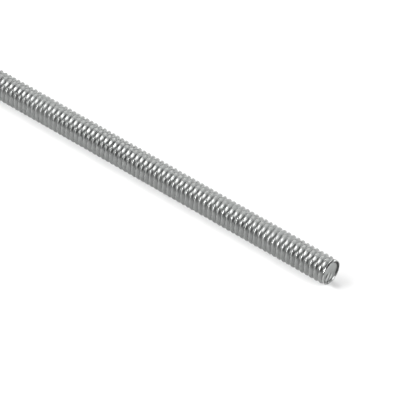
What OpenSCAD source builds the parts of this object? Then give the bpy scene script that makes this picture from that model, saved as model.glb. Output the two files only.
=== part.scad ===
// A short length of threaded rod, lying along X with its underside at Z = 0.
// It is one steel bar with a right-hand unified thread from end to end.

/* [Thread] */
// Outside diameter, over the crests of the thread
major_d = 6.25; // [4:0.05:10]
// Threads in one inch of length
threads_per_inch = 20; // [16:1:28]
// Angle between the two flanks of one groove, in degrees
flank_angle = 60; // [50:1:65]
// Radial depth of the thread, as a share of the pitch
depth_share = 0.57; // [0.5:0.01:0.64]
// Width of the flat on each crest, as a share of the pitch
crest_share = 0.17; // [0.08:0.01:0.2]
// Where round the first end face the groove runs out, in degrees
start_angle = 80; // [0:10:350]

/* [Rod] */
// Length over both end faces
rod_length = 101.6; // [25.4:0.1:140]
// Width and height of the small chamfer round each end
edge_chamfer = 0.2; // [0.05:0.05:0.4]

/* [Cupped ends] */
// Depth of the shallow cup that thread rolling leaves in each cut end
cup_depth = 0.3; // [0.1:0.05:0.8]
// Radial width of the flat rim between the chamfer and the cup
rim_width = 0.2; // [0.1:0.05:0.5]
// Radial width of the sloping wall between the rim and the cup's flat floor
cup_wall_width = 0.55; // [0.2:0.05:0.9]

/* [Hidden] */
$fn = 96;

major_r = major_d / 2;
pitch = 25.4 / threads_per_inch;
rim_r = major_r - edge_chamfer;
cup_mouth_r = rim_r - rim_width;
cup_floor_r = cup_mouth_r - cup_wall_width;

// The groove's section: a V with a flat root, and a mouth that opens outside the bar
crest_w = crest_share * pitch;
depth = depth_share * pitch;
overcut = 0.2;
root_r = major_r - depth;
mouth_r = major_r + overcut;
groove_slope = tan(flank_angle / 2);
mouth_w = pitch - crest_w + 2 * overcut * groove_slope;
root_w = mouth_w - 2 * (mouth_r - root_r) * groove_slope;
groove_section = [
    [mouth_r, -mouth_w / 2],
    [root_r, -root_w / 2],
    [root_r, root_w / 2],
    [mouth_r, mouth_w / 2]
];
corners = len(groove_section);

// The groove winds from one pitch before the first end face to one pitch past the second
steps_per_turn = 14;
steps = ceil((rod_length / pitch + 2) * steps_per_turn);

// Corners of the groove's section at one step along the helix
function wound_section(step) =
    let (angle = start_angle + 360 * step / steps_per_turn, rise = (step / steps_per_turn - 1) * pitch)
    [for (corner = groove_section) [corner[0] * cos(angle), corner[0] * sin(angle), rise + corner[1]]];

// Two triangles on one side of the groove, between one step and the next
function side_faces(step, corner) =
    let (a = corners * step + corner, b = corners * step + (corner + 1) % corners)
    [[a, a + corners, b + corners], [a, b + corners, b]];

module helical_groove() {
    points = [for (step = [0:steps]) each wound_section(step)];
    sides = [for (step = [0:steps - 1], corner = [0:corners - 1]) each side_faces(step, corner)];
    first_end = [for (corner = [0:corners - 1]) corner];
    last_end = [for (corner = [corners - 1:-1:0]) corners * steps + corner];
    polyhedron(points, concat([first_end], sides, [last_end]), convexity = 10);
}

module cupped_bar() {
    rotate_extrude()
        polygon([
            [0, cup_depth],
            [cup_floor_r, cup_depth],
            [cup_mouth_r, 0],
            [rim_r, 0],
            [major_r, edge_chamfer],
            [major_r, rod_length - edge_chamfer],
            [rim_r, rod_length],
            [cup_mouth_r, rod_length],
            [cup_floor_r, rod_length - cup_depth],
            [0, rod_length - cup_depth]
        ]);
}

module rod() {
    color("silver")
    translate([-rod_length / 2, 0, major_r])
    rotate([0, 90, 0])
    difference() {
        cupped_bar();
        helical_groove();
    }
}

rod();
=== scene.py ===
from math import cos, pi, radians, sin, sqrt

import bmesh
import bpy
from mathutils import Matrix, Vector


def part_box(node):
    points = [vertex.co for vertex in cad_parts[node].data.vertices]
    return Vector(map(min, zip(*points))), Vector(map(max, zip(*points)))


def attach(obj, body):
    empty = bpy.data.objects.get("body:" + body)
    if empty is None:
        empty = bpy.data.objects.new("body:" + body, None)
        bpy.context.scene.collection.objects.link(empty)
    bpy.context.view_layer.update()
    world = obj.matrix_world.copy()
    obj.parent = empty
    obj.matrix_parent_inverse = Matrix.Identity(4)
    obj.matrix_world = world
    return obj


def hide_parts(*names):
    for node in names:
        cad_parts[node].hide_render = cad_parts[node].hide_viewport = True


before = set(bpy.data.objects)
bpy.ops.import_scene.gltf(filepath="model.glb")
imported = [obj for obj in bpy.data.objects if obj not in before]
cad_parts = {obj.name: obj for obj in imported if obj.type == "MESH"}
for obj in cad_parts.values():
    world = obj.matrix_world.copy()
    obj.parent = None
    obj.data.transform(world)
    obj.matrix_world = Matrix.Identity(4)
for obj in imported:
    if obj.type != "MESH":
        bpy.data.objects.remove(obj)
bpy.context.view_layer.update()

# ---- The threaded rod -------------------------------------------------------------------------
# One piece of low-carbon steel bar. The thread is rolled cold from end to end, which squeezes the
# bar's skin outwards and leaves a shallow cup in each sheared end. It is zinc plated afterwards.

inch = 0.0254
threads_per_inch = 20

low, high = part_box("rod")
rod_length = high.x - low.x
crest_radius = (high.z - low.z) / 2
axis_height = (high.z + low.z) / 2
pitch = inch / threads_per_inch

# The section: straight flanks between two flats, then both corners are rounded off. The roundings
# are shares of the flank's rise, and they take some of the depth.
thread_depth = 0.46 * pitch
crest_flat = 0.11 * pitch
root_flat = 0.17 * pitch
crest_rounding = 1.1
root_rounding = 0.2
start_angle = radians(175)
unevenness = 0.000008
unevenness_scale = 900.0

# Near a cut the crest drops away over the lead-in, and the groove is smeared nearly shut.
edge_drop = 0.0002
lead_in = 0.0014
lead_in_blend = 0.0001
smear_length = 0.00045
smear_blend = 0.0002

steps_per_turn = 48
steps_per_thread = 18
weld_distance = 0.000002
sharpest_smooth_bend = radians(50)

# The cup has a level floor and a wall that steepens to the mouth. Sinking it drags the metal
# behind it a little, as far as its reach. A ring just outside the mouth keeps its edge crisp.
cup_depth = 0.0003
cup_floor_radius = 0.002175
cup_mouth_radius = 0.002725
cup_reach = 0.0012
edge_break = 0.00006
mouth_ring_gap = 0.00004


class Wire:
    """A value in a node tree. Arithmetic on it adds Math nodes to that tree."""

    def __init__(self, tree, socket):
        self.tree = tree
        self.socket = socket

    @classmethod
    def node(cls, tree, kind, settings=None, sockets=None, output=0):
        """Adds a node. Its settings are set first, then its sockets, to values or to wires."""
        made = tree.nodes.new(kind)
        for name, value in (settings or {}).items():
            setattr(made, name, value)
        for name, value in (sockets or {}).items():
            if isinstance(value, Wire):
                tree.links.new(value.socket, made.inputs[name])
            else:
                made.inputs[name].default_value = value
        return cls(tree, made.outputs[output])

    def math(self, operation, *others):
        values = dict(enumerate((self,) + others))
        return Wire.node(self.tree, "ShaderNodeMath", {"operation": operation}, values)

    def __add__(self, other):
        return self.math("ADD", other)

    def __sub__(self, other):
        return self.math("SUBTRACT", other)

    def __mul__(self, other):
        return self.math("MULTIPLY", other)

    def __truediv__(self, other):
        return self.math("DIVIDE", other)

    def __rsub__(self, other):
        return Wire.node(self.tree, "ShaderNodeMath", {"operation": "SUBTRACT"}, {0: other, 1: self})

    __radd__ = __add__
    __rmul__ = __mul__


def apart(place):
    """The three coordinates of a place, as numbers."""
    split = Wire.node(place.tree, "ShaderNodeSeparateXYZ", {}, {0: place}).socket.node
    return [Wire(place.tree, coordinate) for coordinate in split.outputs]


def lumps(place, per_metre, detail):
    """An uneven pattern that stays as it is from run to run, from 0 to 1."""
    return Wire.node(place.tree, "ShaderNodeTexNoise", {},
                     {"Vector": place, "Scale": per_metre, "Detail": detail})


def thread_tree():
    """Winds a ribbon, one pitch wide and bent to the thread's section, into a tube."""
    tree = bpy.data.node_groups.new("rolled thread", "GeometryNodeTree")
    for name, kind in (
        ("Length", "Float"), ("Crest Radius", "Float"), ("Axis Height", "Float"), ("Pitch", "Float"),
        ("Thread Depth", "Float"), ("Crest Flat", "Float"), ("Root Flat", "Float"),
        ("Crest Rounding", "Float"), ("Root Rounding", "Float"),
        ("Edge Drop", "Float"), ("Lead In", "Float"), ("Smear Length", "Float"),
        ("Start Angle", "Float"), ("Unevenness", "Float"), ("Steps per Turn", "Int"),
        ("Steps per Thread", "Int"), ("Material", "Material"),
    ):
        tree.interface.new_socket(name=name, in_out="INPUT", socket_type="NodeSocket" + kind)
    tree.interface.new_socket(name="Geometry", in_out="OUTPUT", socket_type="NodeSocketGeometry")
    entry = tree.nodes.new("NodeGroupInput")
    given = {s.name: Wire(tree, s) for s in entry.outputs if s.name}
    length, crest, thread = given["Length"], given["Crest Radius"], given["Pitch"]

    # A flat ribbon: x counts the turns and y goes once across the thread, from crest to crest.
    turns = (length / thread).math("CEIL") + 1
    ribbon = Wire.node(tree, "GeometryNodeMeshGrid", {}, {
        "Size X": turns, "Size Y": 1.0,
        "Vertices X": turns * given["Steps per Turn"] + 1,
        "Vertices Y": given["Steps per Thread"] + 1,
    })
    x, y, _ = apart(Wire.node(tree, "GeometryNodeInputPosition"))
    along = x + turns / 2
    across = y + 0.5

    # The section's rise goes from 0 at the root to 1 at the crest before its corners are rounded.
    from_root = (across * 2 - 1).math("ABSOLUTE") * (thread / 2) - given["Root Flat"] / 2
    flank_run = thread / 2 - given["Root Flat"] / 2 - given["Crest Flat"] / 2
    rise = (from_root / flank_run).math("SMOOTH_MIN", 1.0, given["Crest Rounding"])
    rise = rise.math("SMOOTH_MAX", 0.0, given["Root Rounding"])
    top = (given["Crest Flat"] / 2 / flank_run + 1).math("SMOOTH_MIN", 1.0, given["Crest Rounding"])
    radius = crest - given["Thread Depth"] * (top - rise)

    # Each step round the rod carries the ribbon along it, and the rolled skin is a little uneven.
    axial = (along + across - 1) * thread
    angle = along * (2 * pi) + given["Start Angle"]
    spot = Wire.node(tree, "ShaderNodeCombineXYZ", {}, {
        0: axial, 1: angle.math("COSINE") * radius, 2: angle.math("SINE") * radius})
    radius = radius - lumps(spot, unevenness_scale, 2.0) * given["Unevenness"]

    # At both ends the last crest is low, and the mouth of the groove is pressed nearly shut.
    edge = crest - given["Edge Drop"]
    climb = given["Edge Drop"] / given["Lead In"]
    fall = given["Thread Depth"] / given["Smear Length"]
    for inwards in (axial, length - axial):
        radius = radius.math("SMOOTH_MAX", edge - inwards * fall, smear_blend)
        radius = radius.math("SMOOTH_MIN", edge + inwards * climb, lead_in_blend)
    wound = Wire.node(tree, "ShaderNodeCombineXYZ", {}, {
        0: axial - length / 2,
        1: angle.math("COSINE") * radius,
        2: angle.math("SINE") * radius + given["Axis Height"],
    })
    tube = Wire.node(tree, "GeometryNodeSetPosition", {}, {"Geometry": ribbon, "Position": wound})
    welded = Wire.node(tree, "GeometryNodeMergeByDistance", {},
                       {"Geometry": tube, "Distance": weld_distance})
    real = Wire.node(tree, "GeometryNodeRealizeInstances", {}, {"Geometry": welded})
    dressed = Wire.node(tree, "GeometryNodeSetMaterial", {},
                        {"Geometry": real, "Material": given["Material"]})
    tree.links.new(dressed.socket, tree.nodes.new("NodeGroupOutput").inputs[0])
    return tree


def mixed(share, first, second):
    """A blend of two colours. A plain number stands for a grey."""
    greys = [c if isinstance(c, Wire) else (c, c, c, 1) for c in (first, second)]
    return Wire.node(share.tree, "ShaderNodeMix", {"data_type": "RGBA"},
                     {0: share, 6: greys[0], 7: greys[1]}, output=2)


# Shades of the metal, as greys, and the painted shade and highlights among them. The tint leaves a
# trace of green in all of them.
clean_zinc = 0.275
# The darker grey serves both the plate's random dull patches and the painted shade in the roots.
dull_zinc_and_root_shade = 0.18
sheared_steel = 0.4
# The tears' hollows are painted with shade, and their crests with highlight.
tear_hollow_painted_shade = 0.07
tear_crest_painted_highlight = 0.66
# The cup's wall is painted dark with shade.
cup_wall_painted_shade = 0.045
# The lip is painted light with a highlight.
lip_painted_highlight = 0.55
least_roughness = 0.06
zinc_tint = (0.98, 1.005, 0.99)

# How far in from a cut the face's finish and the lip's painted highlight reach, and which way the torn
# side of the end face lies.
face_reach = 0.0005
lip_width = 0.00012
torn_side_y, torn_side_z = -0.6, -0.8
torn_sharpness = 1500.0
torn_blend = 0.3

# The tears are furrows, five times as long as they are wide. The grain is all over the plate.
tear_stretch = 0.2
tear_contrast = 5.0
tear_depth = 0.0001
grain_depth = 0.00002
grain_strength = 0.15

# Roughly how many lumps each pattern has in a metre.
mottle_scale = 700.0
tear_scale = 1300.0
wear_scale = 90.0
grain_scale = 4000.0


def held_between(value, lowest, highest):
    """The value, kept from passing either limit."""
    return value.math("MAXIMUM", lowest).math("MINIMUM", highest)


def zinc_plate():
    """Bright zinc over rolled steel, rougher in the roots and painted darker there as shade, with the
    finishes of a sheared end. The cup's wall and the tears' hollows are painted with shade, the lip
    and the tears' crests with highlights.
    """
    plate = bpy.data.materials.new("zinc_plate")
    plate.use_nodes = True
    tree = plate.node_tree
    shader = tree.nodes["Principled BSDF"]
    place = Wire.node(tree, "ShaderNodeTexCoord", output=3)
    along, side, height = apart(place)
    up = height - axis_height
    radius = (side * side + up * up).math("SQRT")

    # The plate's tone is mottled at random, and it is painted darker towards the roots as shade in the
    # grooves.
    root = 1 - (radius - (crest_radius - thread_depth)) / thread_depth
    mottle = lumps(place, mottle_scale, 4.0)
    colour = mixed(mottle * 0.5 + root * 0.4, clean_zinc, dull_zinc_and_root_shade)

    # The shear leaves a clean face, which tears on the side that breaks away last.
    from_end = rod_length / 2 - along.math("ABSOLUTE")
    inside_rim = (radius - cup_mouth_radius).math("LESS_THAN", 0.0)
    on_face = (from_end - face_reach).math("LESS_THAN", 0.0) * inside_rim
    below_middle = side * torn_side_y + up * torn_side_z
    torn = (below_middle * torn_sharpness).math("SMOOTH_MIN", 1.0, torn_blend)
    torn = torn.math("SMOOTH_MAX", 0.0, torn_blend) * on_face
    level = side * -torn_side_z + up * torn_side_y
    sheared = Wire.node(tree, "ShaderNodeCombineXYZ", {}, {
        0: along * tear_stretch, 1: level, 2: below_middle * tear_stretch})
    tears = held_between((lumps(sheared, tear_scale, 1.0) - 0.5) * tear_contrast + 0.5, 0.0, 1.0)
    colour = mixed(on_face * 0.8, colour, sheared_steel)
    # The torn side's furrows are painted dark in their hollows as shade, and light on their crests as
    # highlight.
    colour = mixed(torn * 0.9, colour, mixed(tears, tear_hollow_painted_shade, tear_crest_painted_highlight))

    # The cup's wall is painted dark as shade, and the thin lip outside it is painted light as a
    # highlight.
    wall = (radius - cup_floor_radius) / (cup_mouth_radius - cup_floor_radius)
    cup_wall_shade = held_between(wall * 5.0 + 0.05, 0.0, 1.0) * (on_face - torn * 0.4)
    colour = mixed(cup_wall_shade * 0.95, colour, cup_wall_painted_shade)
    outside_cup = (radius - cup_mouth_radius).math("GREATER_THAN", 0.0)
    lip_highlight = (from_end - lip_width).math("LESS_THAN", 0.0) * outside_cup
    colour = mixed(lip_highlight * 0.6, colour, lip_painted_highlight)
    colour = Wire.node(tree, "ShaderNodeVectorMath", {"operation": "MULTIPLY"},
                       {0: colour, 1: zinc_tint})
    tree.links.new(colour.socket, shader.inputs["Base Color"])

    # Broad patches of the plate are less glossy than others, and so are the roots.
    rough = mottle * 0.12 + lumps(place, wear_scale, 1.0) * 0.24 + root * 0.1 + least_roughness
    tree.links.new(rough.socket, shader.inputs["Roughness"])
    shader.inputs["Metallic"].default_value = 1.0

    # A fine grain all over, and deeper furrows in the torn side.
    bump = Wire.node(tree, "ShaderNodeBump", {}, {
        "Strength": grain_strength, "Distance": grain_depth, "Height": lumps(place, grain_scale, 3.0)})
    bump = Wire.node(tree, "ShaderNodeBump", {}, {
        "Strength": torn, "Distance": tear_depth, "Height": tears, "Normal": bump})
    tree.links.new(bump.socket, shader.inputs["Normal"])
    return plate


def wind_thread(material):
    """The threaded tube, as a plain mesh that runs a little past both ends."""
    shell = bpy.data.meshes.new("threaded_rod")
    rod = bpy.data.objects.new("threaded_rod", shell)
    bpy.context.scene.collection.objects.link(rod)
    tree = thread_tree()
    sizes = {
        "Length": rod_length, "Crest Radius": crest_radius, "Axis Height": axis_height,
        "Pitch": pitch, "Thread Depth": thread_depth, "Crest Flat": crest_flat,
        "Root Flat": root_flat, "Crest Rounding": crest_rounding,
        "Root Rounding": root_rounding, "Edge Drop": edge_drop, "Lead In": lead_in,
        "Smear Length": smear_length, "Start Angle": start_angle, "Unevenness": unevenness,
        "Steps per Turn": steps_per_turn, "Steps per Thread": steps_per_thread, "Material": material,
    }
    winding = rod.modifiers.new("wind", "NODES")
    winding.node_group = tree
    for item in tree.interface.items_tree:
        if item.in_out == "INPUT":
            winding[item.identifier] = sizes[item.name]
    bpy.context.view_layer.update()
    ready = rod.evaluated_get(bpy.context.evaluated_depsgraph_get())
    rod.data = bpy.data.meshes.new_from_object(ready)
    rod.modifiers.clear()
    return rod


def cup(radius):
    """How far the end face is sunk at one radius: steep at the cup's mouth, level at its floor."""
    share = (cup_mouth_radius - radius) / (cup_mouth_radius - cup_floor_radius)
    share = min(max(share, 0.0), 1.0)
    return cup_depth * (1 - (1 - share) ** 3)


# Rings of the end face: close together on the cup's curved wall, then wider over its level floor.
wall_shares = (0, 0.06, 0.13, 0.21, 0.3, 0.41, 0.54, 0.7, 0.88)
floor_shares = (0.96, 0.85, 0.7, 0.55, 0.4, 0.25, 0.1, 0)
cut_tolerance = 1e-8
on_the_cut = 1e-7


def finish_end(bm, face_x, outwards):
    """Cuts the tube off square, closes it with rings down to one point, and sinks the cup."""
    geometry = bm.verts[:] + bm.edges[:] + bm.faces[:]
    bmesh.ops.bisect_plane(
        bm, geom=geometry, dist=cut_tolerance, plane_co=(face_x, 0, 0), plane_no=(outwards, 0, 0),
        clear_outer=True)
    rim = [e for e in bm.edges if e.is_boundary
           and all(abs(v.co.x - face_x) < on_the_cut for v in e.verts)]
    edge = {v for e in rim for v in e.verts}
    centre = Vector((face_x, 0, axis_height))
    wall = cup_mouth_radius - cup_floor_radius
    rings = [crest_radius, cup_mouth_radius + mouth_ring_gap]
    rings += [cup_mouth_radius - wall * share for share in wall_shares]
    rings += [cup_floor_radius * share for share in floor_shares]
    for ring in rings:
        grown = bmesh.ops.extrude_edge_only(bm, edges=rim)["geom"]
        rim = [g for g in grown if isinstance(g, bmesh.types.BMEdge)]
        for vert in {v for e in rim for v in e.verts}:
            out = vert.co - centre
            kept = min(out.length - (edge_break if ring == crest_radius else 0.0), ring)
            vert.co = centre + out * (kept / max(out.length, cut_tolerance))
    for vert in edge:
        vert.co.x -= outwards * edge_break
    for vert in bm.verts:
        inside = (face_x - vert.co.x) * outwards
        if inside < cup_reach:
            fade = (1 - inside / cup_reach) ** 2
            radius = sqrt(vert.co.y ** 2 + (vert.co.z - axis_height) ** 2)
            vert.co.x -= outwards * cup(radius) * fade


zinc = zinc_plate()
rod = wind_thread(zinc)
bm = bmesh.new()
bm.from_mesh(rod.data)
finish_end(bm, high.x, 1)
finish_end(bm, low.x, -1)
bmesh.ops.remove_doubles(bm, verts=bm.verts, dist=weld_distance)
bmesh.ops.recalc_face_normals(bm, faces=bm.faces)
for face in bm.faces:
    face.smooth = True
bm.to_mesh(rod.data)
bm.free()
rod.data.set_sharp_from_angle(angle=sharpest_smooth_bend)

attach(rod, "root")
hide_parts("rod")

# ---- The studio: not part of the rod ----------------------------------------------------------
# A plain table top covered in matt white paper, in a dark room with a few soft lights. It holds
# nothing of the rod, and the rod lies on it.

table_reach = 1.2
paper_shades = (0.85, 0.87)
paper_tooth_scale = 600.0

table = bpy.data.objects.new("table_top", bpy.data.meshes.new("table_top"))
bpy.context.scene.collection.objects.link(table)
bm = bmesh.new()
bmesh.ops.create_grid(bm, x_segments=1, y_segments=1, size=table_reach)
bmesh.ops.translate(bm, verts=bm.verts, vec=(0, 0, low.z))
bm.to_mesh(table.data)
bm.free()


def white_paper():
    """Matt white paper with a faint tooth."""
    paper = bpy.data.materials.new("white_paper")
    paper.use_nodes = True
    tree = paper.node_tree
    shader = tree.nodes["Principled BSDF"]
    place = Wire.node(tree, "ShaderNodeTexCoord", output=3)
    colour = mixed(lumps(place, paper_tooth_scale, 3.0), *paper_shades)
    tree.links.new(colour.socket, shader.inputs["Base Color"])
    shader.inputs["Roughness"].default_value = 0.8
    shader.inputs["Specular IOR Level"].default_value = 0.0
    return paper


table.data.materials.append(white_paper())

# Each soft light's azimuth, round from -Y towards +X, its elevation and its strength. The angles
# are in degrees.
soft_lights = {
    "low_left": (288, 6, 88),
    "front_left": (318, 30, 17),
    "low_behind_left": (240, 17, 16),
    "low_behind": (180, 5, 9),
    "behind_left": (220, 30, 9),
    "high_left": (270, 40, 8),
    "right": (100, 36, 14),
    "low_behind_right": (142, 17, 4),
    "behind_right": (146, 40, 3),
    "front_right": (40, 30, 3.5),
    "low_front_right": (35, 5, 2),
}
light_tightness = 50.0


def soft_studio():
    """A dark room with round soft lights, each at half its strength ten degrees off its middle."""
    studio = bpy.data.worlds.new("studio")
    studio.use_nodes = True
    tree = studio.node_tree
    looking = Wire.node(tree, "ShaderNodeTexCoord")
    glow = 0.0
    for around, up, strength in soft_lights.values():
        around, up = radians(around), radians(up)
        aim = (sin(around) * cos(up), -cos(around) * cos(up), sin(up))
        facing = Wire.node(tree, "ShaderNodeVectorMath", {"operation": "DOT_PRODUCT"},
                           {0: looking, 1: aim}, output=1)
        glow = glow + ((facing - 1) * light_tightness).math("EXPONENT") * strength
    tree.links.new(glow.socket, tree.nodes["Background"].inputs["Strength"])
    tree.nodes["Background"].inputs["Color"].default_value = (1, 1, 1, 1)
    return studio


bpy.context.scene.world = soft_studio()
bpy.context.scene.view_settings.view_transform = "Standard"

# The camera stands beside the +X end and looks down across the rod, from far enough off to
# flatten the view.
azimuth, elevation = radians(39.2), radians(44.1)
distance = 0.8
picture_width = 0.0873
sensor_width = 36
looks_at = Vector((0.01477, -0.00027, axis_height - 0.00022))
towards = Vector((sin(azimuth) * cos(elevation), -cos(azimuth) * cos(elevation), sin(elevation)))
lens = bpy.data.cameras.new("camera")
lens.sensor_width = sensor_width
lens.lens = sensor_width * distance / picture_width
lens.clip_start = 0.01
camera = bpy.data.objects.new("camera", lens)
camera.location = looks_at + towards * distance
camera.rotation_euler = (-towards).to_track_quat("-Z", "Y").to_euler()
bpy.context.scene.collection.objects.link(camera)
bpy.context.scene.camera = camera
